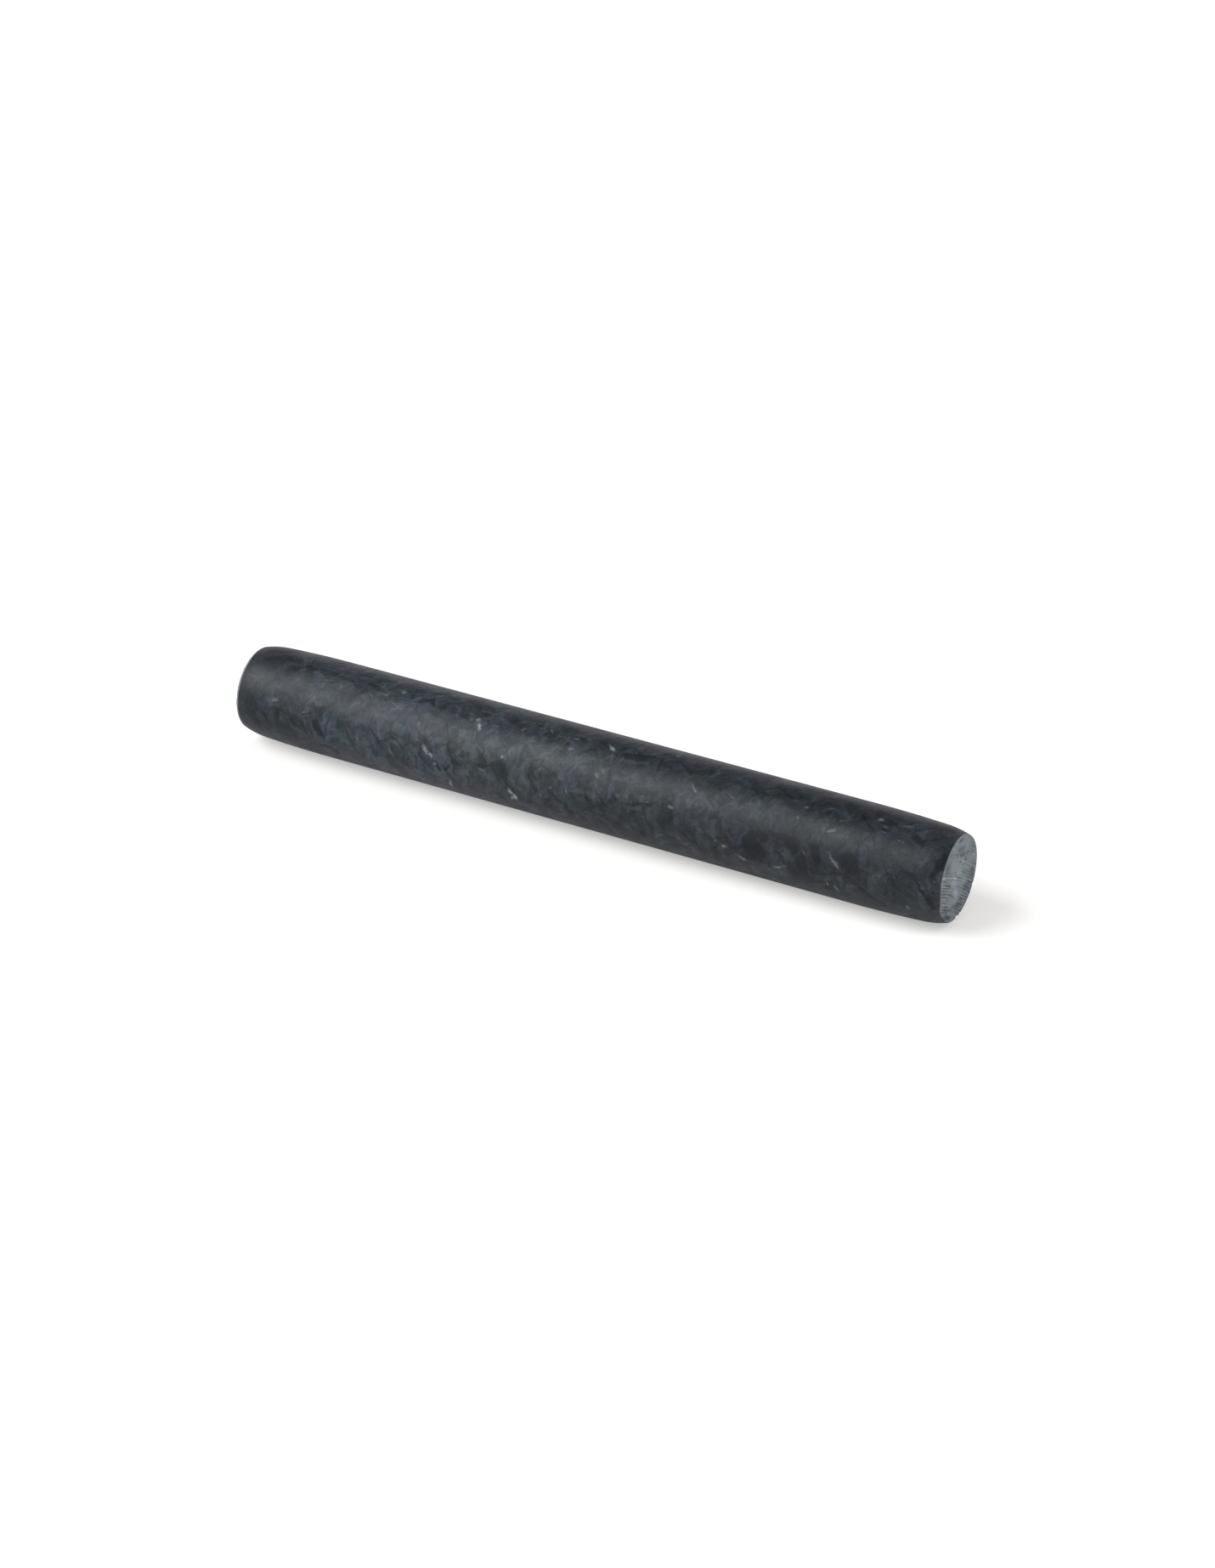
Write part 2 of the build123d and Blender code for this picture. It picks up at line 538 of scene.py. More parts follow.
# Pale marks, in the same terms: soft patches first, then the white calcite flecks
PALE_PATCHES = (
    (-176, 17, 10, 7, -10, 0.34),
    (-189, 45, 10, 14, 0, 0.22),
    (-178, 68, 9, 5, 0, 0.20),
    (-185, -3, 7, 4, -70, 0.16),
    (-167, 11, 9, 7, 60, 0.42),
    (-151, 28, 4, 6, 0, 0.30),
    (-115, 6, 10, 10, -40, 0.28),
    (-133, 94, 8, 5, 0, 0.25),
    (-136, -5, 24, 14, 10, 0.12),
    (-124, 43, 9, 4, -45, 0.16),
    (-77, 35, 10, 12, -60, 0.22),
    (-98, 4, 8, 12, 0, 0.34),
    (-65, 15, 10, 8, 70, 0.36),
    (-66, 27, 8, 6, 0, 0.14),
    (-57, -8, 17, 13, 0, 0.15),
    (-48, 4, 10, 3, -30, 0.28),
    (-29, 56, 6, 8, 10, 0.34),
    (-38, 35, 5, 8, 0, 0.22),
    (-34, 5, 4, 9, 0, 0.22),
    (-26, 11, 6, 3, -45, 0.24),
    (-6, 15, 10, 8, -50, 0.36),
    (5, 70, 9, 8, 0, 0.22),
    (13, 17, 9, 9, 0, 0.16),
    (61, -13, 16, 8, -10, 0.44),
    (68, 3, 8, 9, 0, 0.22),
    (50, 28, 10, 1.6, -3, 0.22),
    (67, -21, 12, 6, -55, 0.30),
    (78, 6, 8, 11, 0, 0.22),
    (90, 50, 12, 8, 0, 0.24),
    (74, 14, 9, 10, 0, 0.12),
    (115, 6, 13, 11, 0, 0.24),
    (117, -16, 14, 7, 10, 0.20),
    (127.5, 29, 6, 5.5, -20, 0.42),
    (144, -3, 9, 4, 0, 0.16),
    (146, 44, 5, 2.5, 0, 0.22),
    (170, 5, 13, 12, -50, 0.30),
    (173, -9, 10, 13, 0, 0.36),
    (193, 4, 5, 8, -60, 0.18),
    (168, 66, 10, 2.4, -15, 0.24),
    (187, 81, 12, 5, 10, 0.20),
)

WHITE_FLECKS = (
    (-175.3, 23.6, 4.4, 3.0, 20, 0.60),
    (-156.9, 18.3, 1.8, 1.6, 0, 0.54),
    (-107.2, 76.0, 3.4, 3.2, 0, 0.60),
    (-147.0, 87.0, 5.0, 1.4, -42, 0.30),
    (-145.3, 76.0, 4.0, 1.4, 25, 0.25),
    (-141.2, 61.6, 4.6, 1.2, -48, 0.40),
    (-115.0, 65.0, 2.8, 1.8, 10, 0.40),
    (-108.0, 55.5, 6.0, 1.4, -15, 0.32),
    (-130.0, 60.0, 2.6, 1.6, -30, 0.26),
    (-110.6, 14.3, 6.5, 1.6, -50, 0.36),
    (-123.8, 6.0, 5.0, 1.8, -85, 0.32),
    (-121.0, 13.0, 2.6, 1.0, 85, 0.30),
    (-101.3, 11.5, 4.2, 1.5, -50, 0.36),
    (-104.0, -3.0, 4.6, 2.0, -60, 0.36),
    (-118.0, -16.0, 4.2, 1.8, 55, 0.34),
    (-157.8, -25.8, 3.0, 2.6, 0, 0.26),
    (-142.5, -16.0, 2.6, 1.8, 10, 0.28),
    (-60.0, 65.3, 3.8, 2.8, 0, 0.74),
    (-58.2, 56.8, 5.4, 2.2, -68, 0.98),
    (-92.0, 77.0, 2.8, 1.2, -60, 0.40),
    (-83.3, 13.8, 6.4, 2.9, -50, 0.82),
    (-80.6, 11.0, 5.0, 2.2, -48, 0.90),
    (-78.0, 0.4, 2.0, 1.6, 80, 0.60),
    (-88.8, 23.6, 3.6, 1.3, 0, 0.35),
    (-90.6, 40.0, 3.0, 1.6, -20, 0.28),
    (-70.2, -23.6, 7.6, 3.2, -84, 0.78),
    (-46.3, -1.0, 7.0, 1.0, -84, 0.38),
    (-50.0, 9.0, 5.0, 1.0, -15, 0.32),
    (-33.8, -10.6, 4.0, 2.8, -50, 0.98),
    (-31.6, -16.6, 4.2, 2.7, -80, 1.00),
    (-33.4, -20.0, 3.8, 1.2, 75, 0.75),
    (-40.6, 30.0, 2.2, 1.9, 0, 0.85),
    (-36.9, 36.0, 6.0, 1.3, -65, 0.42),
    (-51.9, 40.0, 3.4, 1.2, -80, 0.30),
    (-41.0, 46.0, 3.2, 1.3, -30, 0.30),
    (-34.7, 68.0, 3.8, 2.0, 55, 0.42),
    (-26.0, 88.0, 3.8, 1.6, -50, 0.42),
    (-20.6, 77.0, 4.8, 1.3, -42, 0.42),
    (-14.0, 73.0, 8.0, 0.9, -8, 0.32),
    (-5.6, 76.0, 4.4, 1.5, 30, 0.48),
    (-6.0, 59.5, 2.8, 1.6, 25, 0.50),
    (-22.0, 33.0, 2.8, 1.1, 0, 0.35),
    (-11.0, 10.0, 2.8, 2.0, 20, 0.42),
    (-2.0, 11.0, 5.2, 1.2, -65, 0.46),
    (-16.0, -3.5, 3.2, 1.5, -70, 0.42),
    (14.4, 75.0, 6.4, 3.1, -38, 0.88),
    (16.3, 65.0, 4.4, 2.0, -75, 0.36),
    (12.8, 37.5, 4.4, 2.8, -38, 0.48),
    (15.4, 44.0, 4.8, 3.2, -50, 0.48),
    (26.9, 80.0, 2.8, 0.9, -50, 0.40),
    (46.9, 94.5, 3.2, 2.4, 0, 0.45),
    (64.7, 52.3, 6.8, 1.7, -48, 0.54),
    (56.0, 24.8, 4.0, 1.4, -8, 0.52),
    (40.2, 26.6, 3.2, 0.9, 10, 0.26),
    (43.0, 23.0, 2.0, 1.4, 30, 0.34),
    (83.0, 57.6, 9.0, 1.0, -24, 0.34),
    (86.3, -3.6, 5.0, 2.6, 10, 0.72),
    (95.3, -12.0, 6.8, 2.2, -30, 0.58),
    (81.9, 1.4, 2.6, 1.8, 0, 0.36),
    (86.6, 91.7, 5.0, 1.2, -25, 0.42),
    (160.7, 78.4, 3.6, 2.6, 0, 0.58),
    (140.0, 47.4, 8.4, 1.6, 30, 0.42),
    (174.7, 79.0, 6.0, 1.6, 20, 0.32),
    (177.0, 86.7, 4.0, 1.0, 80, 0.30),
    (165.3, 62.3, 3.2, 1.1, -10, 0.42),
    (165.0, 69.2, 3.6, 1.2, 0, 0.28),
    (174.4, 56.6, 2.2, 1.4, 30, 0.42),
    (176.6, 56.6, 2.2, 1.0, 80, 0.32),
    (123.4, 66.6, 2.0, 1.5, 0, 0.36),
    (121.6, 51.0, 2.8, 1.2, -50, 0.36),
    (135.0, 74.0, 5.4, 1.4, 25, 0.22),
    (144.4, 17.0, 9.5, 1.8, -46, 0.58),
    (147.2, 11.6, 4.6, 1.4, -55, 0.52),
    (115.4, -12.0, 6.0, 1.8, 20, 0.54),
    (120.4, -7.2, 5.4, 1.7, 30, 0.32),
    (142.5, -14.3, 4.8, 1.2, -82, 0.66),
    (146.9, -18.6, 6.4, 1.5, -68, 0.52),
    (142.0, -10.0, 7.4, 1.0, 12, 0.34),
    (184.4, -21.5, 4.4, 2.0, -62, 0.46),
    (189.7, 17.0, 2.2, 1.0, -50, 0.36),
    (129.4, 15.8, 3.4, 1.4, -50, 0.32),
    (141.6, 0.7, 2.8, 1.0, -40, 0.24),
)

# Marks on the end face: y and z from the axis, length, width and slant as above, and depth of tone
FACE_DARK = (
    (-12.9, 11.9, 8.0, 6.0, -30, 0.22),
    (-11.9, 2.2, 9.0, 0.9, -33, 0.40),
    (-16.0, 6.7, 6.0, 0.6, -26, 0.34),
    (-3.5, 5.4, 3.0, 1.1, -45, 0.26),
    (-2.9, 14.1, 5.0, 2.0, -60, 0.20),
    (1.5, 15.7, 10.0, 2.2, -12, 0.24),
    (3.4, 11.8, 6.0, 2.6, -22, 0.22),
    (1.4, 8.9, 2.4, 1.4, -30, 0.46),
    (7.4, 7.1, 2.6, 1.2, -30, 0.52),
    (9.4, 10.4, 2.4, 2.0, -60, 0.28),
    (6.5, 4.8, 7.0, 0.9, -24, 0.26),
    (11.5, 1.2, 8.0, 0.9, -40, 0.28),
    (16.4, -2.8, 9.0, 3.0, -38, 0.34),
    (15.0, 7.6, 5.0, 0.9, -25, 0.26),
    (8.8, -9.2, 8.0, 4.0, -32, 0.24),
    (4.3, -13.4, 4.6, 1.3, -35, 0.44),
    (13.8, -14.5, 4.6, 1.4, -35, 0.56),
    (14.6, -9.3, 8.0, 0.9, -30, 0.36),
    (11.6, -11.6, 7.0, 0.8, -34, 0.32),
    (17.6, -6.6, 6.0, 0.9, -30, 0.30),
    (-11.0, -12.0, 10.0, 3.0, -25, 0.30),
    (-1.0, -14.2, 15.0, 3.0, -22, 0.28),
    (-10.6, -16.0, 10.0, 2.8, -28, 0.48),
    (-15.4, -0.6, 9.0, 0.7, -28, 0.32),
    (-14.0, -3.6, 10.0, 0.7, -32, 0.34),
    (-9.0, -4.6, 8.0, 0.9, -38, 0.34),
    (-5.8, -7.2, 7.0, 0.8, -42, 0.30),
    (-15.8, -5.4, 7.0, 0.7, -32, 0.34),
    (-13.6, -8.4, 7.0, 0.8, -28, 0.32),
    (1.0, 20.5, 7.0, 1.8, -6, 0.40),
)

FACE_PALE = (
    (-16.9, 8.7, 5.4, 1.1, -27, 0.66),
    (-5.0, 3.4, 8.4, 1.3, -38, 0.62),
    (-10.0, 5.6, 10.0, 2.2, -28, 0.26),
    (-17.0, 4.4, 5.6, 2.0, -25, 0.24),
    (-15.2, -6.7, 9.0, 0.9, -34, 0.34),
    (-10.4, -9.4, 7.0, 0.8, -28, 0.24),
    (-16.6, -3.2, 7.0, 1.0, -30, 0.30),
    (0.8, 3.4, 6.0, 4.4, -50, 0.20),
    (-2.2, -7.6, 10.0, 5.0, -58, 0.18),
    (-4.4, -1.0, 8.0, 4.0, -40, 0.16),
    (6.5, -3.4, 6.0, 2.0, -50, 0.16),
    (-0.4, 12.0, 2.6, 0.9, -30, 0.30),
    (4.8, 7.7, 3.4, 1.0, -35, 0.34),
    (14.0, 4.4, 4.0, 1.6, -25, 0.18),
    (17.1, 4.8, 3.2, 1.1, -30, 0.26),
    (12.6, -6.9, 8.0, 1.0, -30, 0.26),
    (12.0, -14.6, 5.0, 1.6, -32, 0.32),
    (17.0, -10.6, 5.0, 0.9, -35, 0.26),
    (4.2, -18.2, 6.0, 1.2, -42, 0.24),
    (-16.6, 12.2, 3.0, 2.4, -60, 0.18),
    (-6.6, 19.4, 7.0, 2.4, -70, 0.16),
)

# Margins of the end face that the saw's dust leaves bare, in the same terms
FACE_BARE = (
    (-23.7, 0.0, 7.4, 34.0, 0, 1.00),
    (-16.5, -16.6, 19.0, 4.4, -42, 0.80),
)

# How each kind of mark is drawn: how deep it reaches into the stone in mm, and where its tone starts
# to fade and where it ends, in shares of its half size
DARK_DRAWN = (6.0, 0.72, 1.15)
PALE_DRAWN = (8.0, 0.45, 1.35)
FLECK_DRAWN = (4.0, 0.20, 1.30)
FACE_DARK_DRAWN = (4.0, 0.35, 1.35)
FACE_PALE_DRAWN = (4.0, 0.25, 1.35)
FACE_BARE_DRAWN = (4.0, 0.86, 1.06)

# How much of the tone a mark of depth 1 takes away or adds, on the barrel and on an end face
MARK_DEPTH = 1.4
FACE_MARK_DEPTH = 1.45

# How far from its middle a mark may show, which says what stretches of the barrel draw it
MARK_MARGIN = 4    # mm
MARK_REACH = 0.7   # of the mark's longer size

# The middle of the marked half, 25 degrees up from the side that faces -Y
MARKED_SIDE = (0, -math.cos(math.radians(25)), math.sin(math.radians(25)))


def on_barrel(mark):
    """Location in mm and rotation of a mark that lies on the barrel."""
    x, turn, slant = mark[0], math.radians(mark[1]), math.radians(mark[4])
    outward = Vector((0, -math.cos(turn), math.sin(turn)))
    upward = Vector((0, math.sin(turn), math.cos(turn)))
    along = Vector((math.cos(slant), 0, 0)) + upward * math.sin(slant)
    across = outward.cross(along)
    spot = outward * (BARREL_RADIUS / MM)
    spot.x = x
    return spot, Matrix((along, across, outward)).transposed().to_euler()


def on_face(mark):
    """Location in mm and rotation of a mark that lies on the end face at +X."""
    slant = math.radians(mark[4])
    outward = Vector((1, 0, 0))
    along = Vector((0, math.cos(slant), math.sin(slant)))
    across = outward.cross(along)
    spot = Vector((HALF_LENGTH / MM, mark[0], mark[1]))
    return spot, Matrix((along, across, outward)).transposed().to_euler()


def marks_within(marks, low, high):
    """The marks that reach into a stretch of the barrel, in mm along it."""
    found = []
    for mark in marks:
        reach = max(mark[2], mark[3]) * MARK_REACH + MARK_MARGIN
        if mark[0] + reach > low and mark[0] - reach < high:
            found.append(mark)
    return found


def draw_marks(g, place, ragged, marks, pose, drawn):
    """Draws soft-edged oval marks and returns the strongest of them at each point."""
    depth, inner, outer = drawn
    strongest = None
    for mark in marks:
        spot, turned = pose(mark)
        sizes = (mark[2] / 2, mark[3] / 2, depth)
        inputs = {"Vector": place, "Location": spot, "Rotation": turned, "Scale": sizes}
        local = g.add("ShaderNodeMapping", inputs, vector_type="TEXTURE").outputs[0]
        share = min(1, RAGGED_WIDTH / mark[3])
        away = g.math("MULTIPLY_ADD", ragged, share, g.length(local))
        shown = g.ramp(away, inner, outer, mark[5], 0.0)
        strongest = shown if strongest is None else g.math("MAXIMUM", strongest, shown)
    return 0.0 if strongest is None else strongest


# How the stone's patterns wander: a slow and a quick noise, and how far in mm each of the two bends
# the stone's own patterns and nudges the listed marks. A noise here, and in all that follows,
# is given by its size in mm, its detail and its roughness.
SLOW_NOISE = (13, 2.0, 0.5)
QUICK_NOISE = (2.6, 3.0, 0.6)
BENT_BY = (11.0, 1.7)
NUDGED_BY = (2.0, 2.1)

# How ragged the edges of marks are: a fine and a broad noise, and their strengths
FINE_RAG_NOISE = (1.1, 2.0, 0.6)
BROAD_RAG_NOISE = (4.5, 2.0, 0.5)
FINE_RAG = 1.1
BROAD_RAG = 1.6


def centred(g, noise_colour):
    """A noise's colour as a vector about zero."""
    return g.vector("SUBTRACT", noise_colour, (0.5, 0.5, 0.5))


class Stone:
    """What every stretch of the marble is drawn with: places on the bar, straight and wandering."""

    def __init__(self, g):
        metres = g.add("ShaderNodeTexCoord").outputs["Object"]
        self.place = g.scaled(g.vector("SUBTRACT", metres, (0, 0, AXIS_HEIGHT)), 1 / MM)
        self.slow = centred(g, g.noise(self.place, *SLOW_NOISE, colour=True))
        self.quick = centred(g, g.noise(self.place, *QUICK_NOISE, colour=True))
        self.bent = self.moved(g, *BENT_BY)
        self.nudged = self.moved(g, *NUDGED_BY)
        fine = g.math("SUBTRACT", g.noise(self.place, *FINE_RAG_NOISE), 0.5)
        broad = g.math("SUBTRACT", g.noise(self.place, *BROAD_RAG_NOISE), 0.5)
        self.ragged = g.math("MULTIPLY_ADD", broad, BROAD_RAG, g.math("MULTIPLY", fine, FINE_RAG))
        self.folded = self.fold(g)

    def moved(self, g, by_slow, by_quick):
        """Places on the bar, moved by so many mm of the slow and of the quick noise."""
        moved = g.vector("ADD", self.place, g.scaled(self.slow, by_slow))
        return g.vector("ADD", moved, g.scaled(self.quick, by_quick))

    def fold(self, g):
        """The marked half of the bar, and on its other half the same marks turned half round."""
        side = g.math("SIGN", g.dot(self.place, MARKED_SIDE))
        turn = g.add("ShaderNodeCombineXYZ", {0: 1.0, 1: side, 2: side}).outputs[0]
        return g.vector("MULTIPLY", self.nudged, turn)


# Colours of the stone at its lowest and highest tone, of its white flecks and of the sawn dust
DEEP_STONE = (0.0014, 0.0029, 0.0050, 1)
PALE_STONE = (0.0504, 0.0605, 0.0697, 1)
TONES = (0.1, 2.1)   # the lowest and the highest tone
CALCITE = (0.205, 0.229, 0.242, 1)
FLECK_FALL = 1.5   # above 1, faint flecks and the edges of bold ones fall off faster
GREEN_DUST = (0.183, 0.214, 0.216, 1)
VIOLET_DUST = (0.195, 0.208, 0.226, 1)

# How far the stone's red, green and blue drift, in clouds and from patch to patch
HUE_CLOUDS = (0.60, 0.38, 0.50)
HUE_CLOUD_NOISE = (13, 3.0, 0.55)
HUE_PATCHES = (0.10, 0.06, 0.09)
HUE_PATCH_SIZE = 8.5   # mm

# The stone's tint: bluer to the left, redder to the right, with the change between places in mm
LEFT_TINT = (0.990, 1.0, 1.035, 1)
MIDDLE_TINT = (1.004, 1.0, 1.0, 1)
RIGHT_TINT = (1.025, 1.0, 1.015, 1)
LEFT_TO_MIDDLE = (-90, -50)
MIDDLE_TO_RIGHT = (50, 140)

# The stone is palest to the left of its middle, and darkest at its left end, which is partly painted
# shade
# where the key light falls on that end: place along the bar in mm and tone
TONE_AND_SHADE_ALONG = (
    (-200, 0.48),
    (-175, 0.86),
    (-145, 1.08),
    (-115, 1.36),
    (-75, 1.38),
    (-40, 1.10),
    (5, 1.04),
    (32, 0.79),
    (75, 0.85),
    (115, 0.59),
    (160, 0.64),
    (200, 0.68),
)
TONE_TOP = 2.0  # what the full height of that curve stands for

# The stone's bedding leans: patterns are drawn out along it and thin across it
BEDDING_NORMAL = Vector((0.35, -0.87, 0.35)).normalized()
BEDDING_STRETCH = (1.35, 0.62, 1.15)

# Patterns of light and dark in the stone: noises, sizes of cells in mm, and ramps from a pattern's low
# and high value to what these multiply the tone by
CLOUD_NOISE = (15, 3.0, 0.55)
CLOUD_RAMP = (0.30, 0.70, 0.66, 1.36)
BLOT_NOISE = (7.5, 4.0, 0.55)
DARK_BLOT_RAMP = (0.54, 0.58, 1.06, 0.58)
PALE_BLOT_RAMP = (0.38, 0.43, 1.28, 1.00)
PATCH_SIZE = 5.5
PATCH_RAMP = (0.0, 1.0, 0.67, 1.33)
MOTTLE_NOISE = (2.8, 3.0, 0.65)
MOTTLE_RAMP = (0.25, 0.75, 0.61, 1.39)
CRUMB_SIZE = 2.4
CRUMB_RAMP = (0.0, 1.0, 0.75, 1.25)

# Dark seams between broken cells: how deep they are by the distance from a cell's edge, and a broad
# noise that says where they show
SEAM_CELL_SIZE = 11.0
SEAM_RAMP = (0.02, 0.07, 0.40, 0.0)
SEAM_PLACES_NOISE = (17, 1.0, 0.5)
SEAM_PLACES = (0.46, 0.56)


def bedding_turn():
    """The rotation that lays its own Y across the bedding."""
    along = Vector((1, 0, 0)).cross(BEDDING_NORMAL).normalized()
    third = along.cross(BEDDING_NORMAL)
    return Matrix((along, BEDDING_NORMAL, third)).transposed().to_euler()


def tone_and_shade_along(g, stone):
    """How pale the stone is from one end of the bar to the other, with painted shade at its left end."""
    low, high = TONE_AND_SHADE_ALONG[0][0], TONE_AND_SHADE_ALONG[-1][0]
    share = g.ramp(g.part(stone.bent, 0), low, high, smooth=False)
    made = g.add("ShaderNodeValToRGB", {0: share})
    made.color_ramp.interpolation = "B_SPLINE"
    stops = made.color_ramp.elements
    for x, _ in TONE_AND_SHADE_ALONG[1:-1]:
        stops.new((x - low) / (high - low))
    for stop, (_, tone) in zip(stops, TONE_AND_SHADE_ALONG):
        level = tone / TONE_TOP
        stop.color = (level, level, level, 1)
    return g.math("MULTIPLY", made.outputs[0], TONE_TOP)


def stone_tone(g, stone):
    """The marble's own light and dark: clouds, broken patches, fine mottling and thin dark seams."""
    bedding = g.add(
        "ShaderNodeMapping",
        {"Vector": stone.bent, "Rotation": bedding_turn(), "Scale": BEDDING_STRETCH},
        vector_type="TEXTURE",
    ).outputs[0]
    clouds = g.noise(bedding, *CLOUD_NOISE)
    blots = g.noise(bedding, *BLOT_NOISE)
    mottle = g.noise(bedding, *MOTTLE_NOISE)
    patches = g.add("ShaderNodeSeparateColor", {0: g.cells(bedding, PATCH_SIZE)}).outputs[0]
    crumbs = g.add("ShaderNodeSeparateColor", {0: g.cells(bedding, CRUMB_SIZE)}).outputs[1]
    seams = g.ramp(g.cell_edges(bedding, SEAM_CELL_SIZE), *SEAM_RAMP)
    shown = g.ramp(g.noise(stone.place, *SEAM_PLACES_NOISE), *SEAM_PLACES)
    tone = tone_and_shade_along(g, stone)
    tone = g.math("MULTIPLY", tone, g.ramp(clouds, *CLOUD_RAMP, smooth=False))
    tone = g.math("MULTIPLY", tone, g.ramp(blots, *DARK_BLOT_RAMP))
    tone = g.math("MULTIPLY", tone, g.ramp(blots, *PALE_BLOT_RAMP))
    tone = g.math("MULTIPLY", tone, g.ramp(patches, *PATCH_RAMP, smooth=False))
    tone = g.math("MULTIPLY", tone, g.ramp(mottle, *MOTTLE_RAMP, smooth=False))
    tone = g.math("MULTIPLY", tone, g.ramp(crumbs, *CRUMB_RAMP, smooth=False))
    return g.lowered(tone, g.math("MULTIPLY", seams, shown))


def tint_along(g, stone):
    """The stone's tint from its left end to its right one."""
    place = g.part(stone.bent, 0)
    tint = g.mix(g.ramp(place, *LEFT_TO_MIDDLE), LEFT_TINT, MIDDLE_TINT)
    return g.mix(g.ramp(place, *MIDDLE_TO_RIGHT), tint, RIGHT_TINT)


def hue_drift(g, stone):
    """A factor near white that makes the stone a little redder, greener or bluer from place to place."""
    clouds = centred(g, g.noise(stone.bent, *HUE_CLOUD_NOISE, colour=True))
    patches = centred(g, g.cells(stone.bent, HUE_PATCH_SIZE))
    drift = g.vector("ADD", g.vector("MULTIPLY", clouds, HUE_CLOUDS), tint_along(g, stone))
    return g.vector("ADD", drift, g.vector("MULTIPLY", patches, HUE_PATCHES))


def stone_colour(g, stone, low, high):
    """The marble's colour between two places along the bar, with the marks that fall there."""

    def draw(marks, drawn):
        near = marks_within(marks, low, high)
        return draw_marks(g, stone.folded, stone.ragged, near, on_barrel, drawn)

    dark = g.math("MULTIPLY", draw(DARK_MARKS, DARK_DRAWN), MARK_DEPTH)
    pale = g.math("MULTIPLY", draw(PALE_PATCHES, PALE_DRAWN), MARK_DEPTH)
    flecks = g.math("POWER", draw(WHITE_FLECKS, FLECK_DRAWN), FLECK_FALL)
    tone = g.raised(g.lowered(stone_tone(g, stone), dark), pale)
    plain = g.mix(g.ramp(tone, *TONES, smooth=False), DEEP_STONE, PALE_STONE)
    return g.mix(flecks, g.vector("MULTIPLY", plain, hue_drift(g, stone)), CALCITE)


# How far behind the face's own plane the dust reaches on the edge, in mm: more towards +Y and the top
DUST_LEAN = (0.0, 0.0326, 0.0100)
DUST_DEPTH = 0.65
DUST_LEAST_DEPTH = 0.15
DUST_FADE = 0.12    # mm, half the width of the dust's soft edge
DUST_RAG = 0.15     # how far the raggedness of marks moves that edge
END_ZONE = 4        # mm of the bar's length that can carry dust
FACE_NUDGE = 0.5    # share of the nudge of marks that those on an end face get

# Light and dark of the dust: paler in the middle of a face, cloudy, and darker in the saw's grooves,
# which is painted shade
FACE_RAMP = (2.0, 19.0, 1.15, 0.96)   # from and to a radius in mm, with the tones there
DUST_CLOUD_NOISE = (7, 3.0, 0.6)
DUST_CLOUD_RAMP = (0.3, 0.7, 0.90, 1.10)
# painted shade in the saw grooves: the share of the tone that it takes away in a full groove
GROOVE_SHADE = 0.56   # share of the tone that a full groove takes away
DUST_HUE_NOISE = (10, 2.0, 0.5)
DUST_HUE_SPREAD = (0.42, 0.58)


def as_near_face(g, place):
    """Places in mm, with the far end turned onto the near one, so that both carry the same marks."""
    parts = g.add("ShaderNodeSeparateXYZ", {0: place}).outputs
    reach = g.math("ABSOLUTE", parts[0])
    across = g.math("MULTIPLY", parts[1], g.math("SIGN", parts[0]))
    return g.add("ShaderNodeCombineXYZ", {0: reach, 1: across, 2: parts[2]}).outputs[0]


def dust_cover(g, stone, near, nudged):
    """Where the dust lies: over the face and a little way round its edge, but for two margins."""
    lean = g.dot(near, DUST_LEAN)
    depth = g.math("MAXIMUM", g.math("ADD", lean, DUST_DEPTH), DUST_LEAST_DEPTH)
    behind = g.math("SUBTRACT", g.math("ADD", g.part(near, 0), depth), HALF_LENGTH / MM)
    edge = g.math("MULTIPLY_ADD", stone.ragged, DUST_RAG, behind)
    bare = draw_marks(g, nudged, stone.ragged, FACE_BARE, on_face, FACE_BARE_DRAWN)
    return g.lowered(g.ramp(edge, -DUST_FADE, DUST_FADE), bare)


def dust_colour(g, stone, near, nudged):
    """The pale dry dust of a sawn end, with its stains and painted shade in its saw grooves."""
    dark = draw_marks(g, nudged, stone.ragged, FACE_DARK, on_face, FACE_DARK_DRAWN)
    pale = draw_marks(g, nudged, stone.ragged, FACE_PALE, on_face, FACE_PALE_DRAWN)
    relief = g.add("ShaderNodeAttribute", attribute_name=RELIEF_NAME).outputs["Fac"]
    tone = g.ramp(g.length(g.vector("MULTIPLY", near, (0, 1, 1))), *FACE_RAMP)
    clouds = g.noise(stone.bent, *DUST_CLOUD_NOISE)
    tone = g.math("MULTIPLY", tone, g.ramp(clouds, *DUST_CLOUD_RAMP))
    # painted shade: the colour is darkened in the saw grooves
    tone = g.lowered(tone, g.math("MULTIPLY", relief, GROOVE_SHADE))
    tone = g.lowered(tone, g.math("MULTIPLY", dark, FACE_MARK_DEPTH))
    tone = g.raised(tone, g.math("MULTIPLY", pale, FACE_MARK_DEPTH))
    hue = g.ramp(g.noise(stone.bent, *DUST_HUE_NOISE), *DUST_HUE_SPREAD)
    return g.scaled(g.mix(hue, GREEN_DUST, VIOLET_DUST), tone)


# Sheen: how rough the honed stone is, in clouds, how much rougher the dust is, and a fine grain
POLISH_NOISE = (7, 3.0, 0.6)
POLISH_RAMP = (0.3, 0.7, 0.41, 0.51)
DUST_ROUGHER = 0.3
SHEEN_LEVEL = 0.28
GRAIN_NOISE = (0.35, 2.0, 0.6)
GRAIN_STRENGTH = 0.05
GRAIN_HEIGHT = 0.1 * MM

# How many materials the barrel is shared out to, so that none of them holds too many marks
STRETCHES = 10


